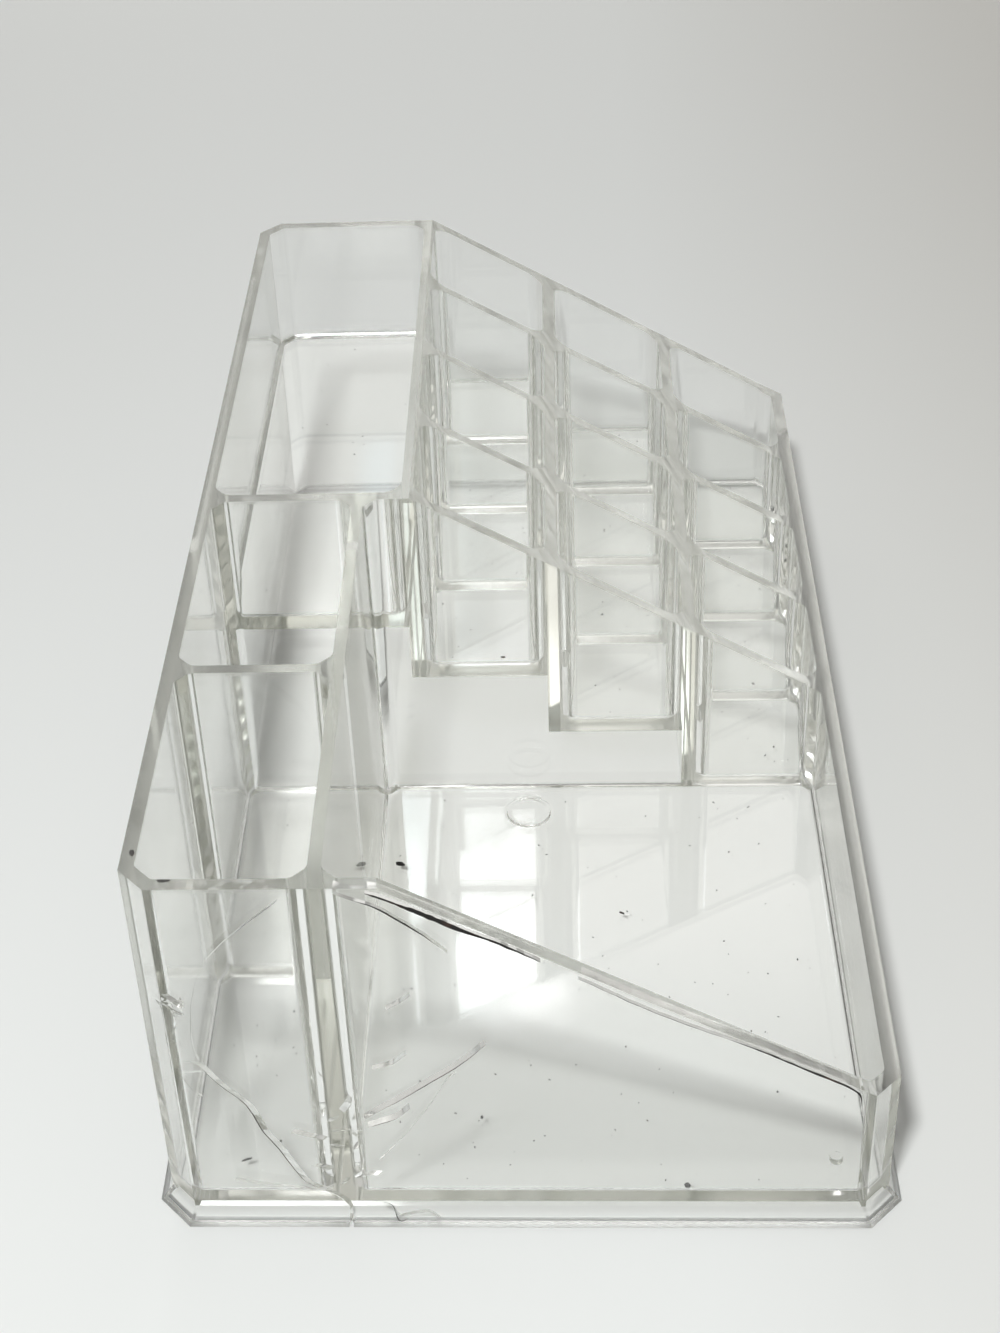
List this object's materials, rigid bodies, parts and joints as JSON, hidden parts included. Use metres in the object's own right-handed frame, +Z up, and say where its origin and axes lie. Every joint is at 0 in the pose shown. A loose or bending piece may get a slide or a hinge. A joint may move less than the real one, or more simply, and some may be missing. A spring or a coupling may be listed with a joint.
{
  "type": "vanity organizer",
  "caption": "Clear moulded vanity organizer: an open tray, upright cups, a long raised compartment and a stepped grid of lipstick cells on a flared foot.",
  "frame": {"origin": "middle of the footprint, on the surface that the foot stands on", "axes": "+X along the length, from the open tray to the lipstick cells; +Y towards the tall back; +Z up"},
  "size_m": [0.2244, 0.1254, 0.076],
  "materials": {
    "clear_plastic": "clear polystyrene, mirror-smooth as moulded, with a faint grey-green tint along its edges"
  },
  "bodies": {
    "root": {"skirt_left": "clear_plastic", "skirt_right": "clear_plastic", "skirt_front": "clear_plastic", "skirt_back": "clear_plastic", "skirt_corners": "clear_plastic", "left_end_wall": "clear_plastic", "right_end_wall": "clear_plastic", "front_wall": "clear_plastic", "back_wall": "clear_plastic", "front_left_corner": "clear_plastic", "front_right_corner": "clear_plastic", "back_left_corner": "clear_plastic", "back_right_corner": "clear_plastic", "tray_floor": "clear_plastic", "back_compartment_floor": "clear_plastic", "back_cell_floor": "clear_plastic", "middle_cell_floor": "clear_plastic", "front_cell_floor": "clear_plastic", "cross_wall": "clear_plastic", "cups_front_wall": "clear_plastic", "cup_divider": "clear_plastic", "back_compartment_front_wall": "clear_plastic", "back_column_divider": "clear_plastic", "front_column_divider": "clear_plastic", "row_divider_back_1": "clear_plastic", "row_divider_back_2": "clear_plastic", "row_divider_back_3": "clear_plastic", "row_divider_middle_1": "clear_plastic", "row_divider_middle_2": "clear_plastic", "row_divider_middle_3": "clear_plastic", "row_divider_front_1": "clear_plastic", "row_divider_front_2": "clear_plastic", "row_divider_front_3": "clear_plastic", "tray_fillets": "clear_plastic", "cup_fillets": "clear_plastic", "back_compartment_fillets": "clear_plastic", "back_cell_fillets": "clear_plastic", "middle_cell_fillets": "clear_plastic", "front_cell_fillets": "clear_plastic"}
  },
  "joints": []
}
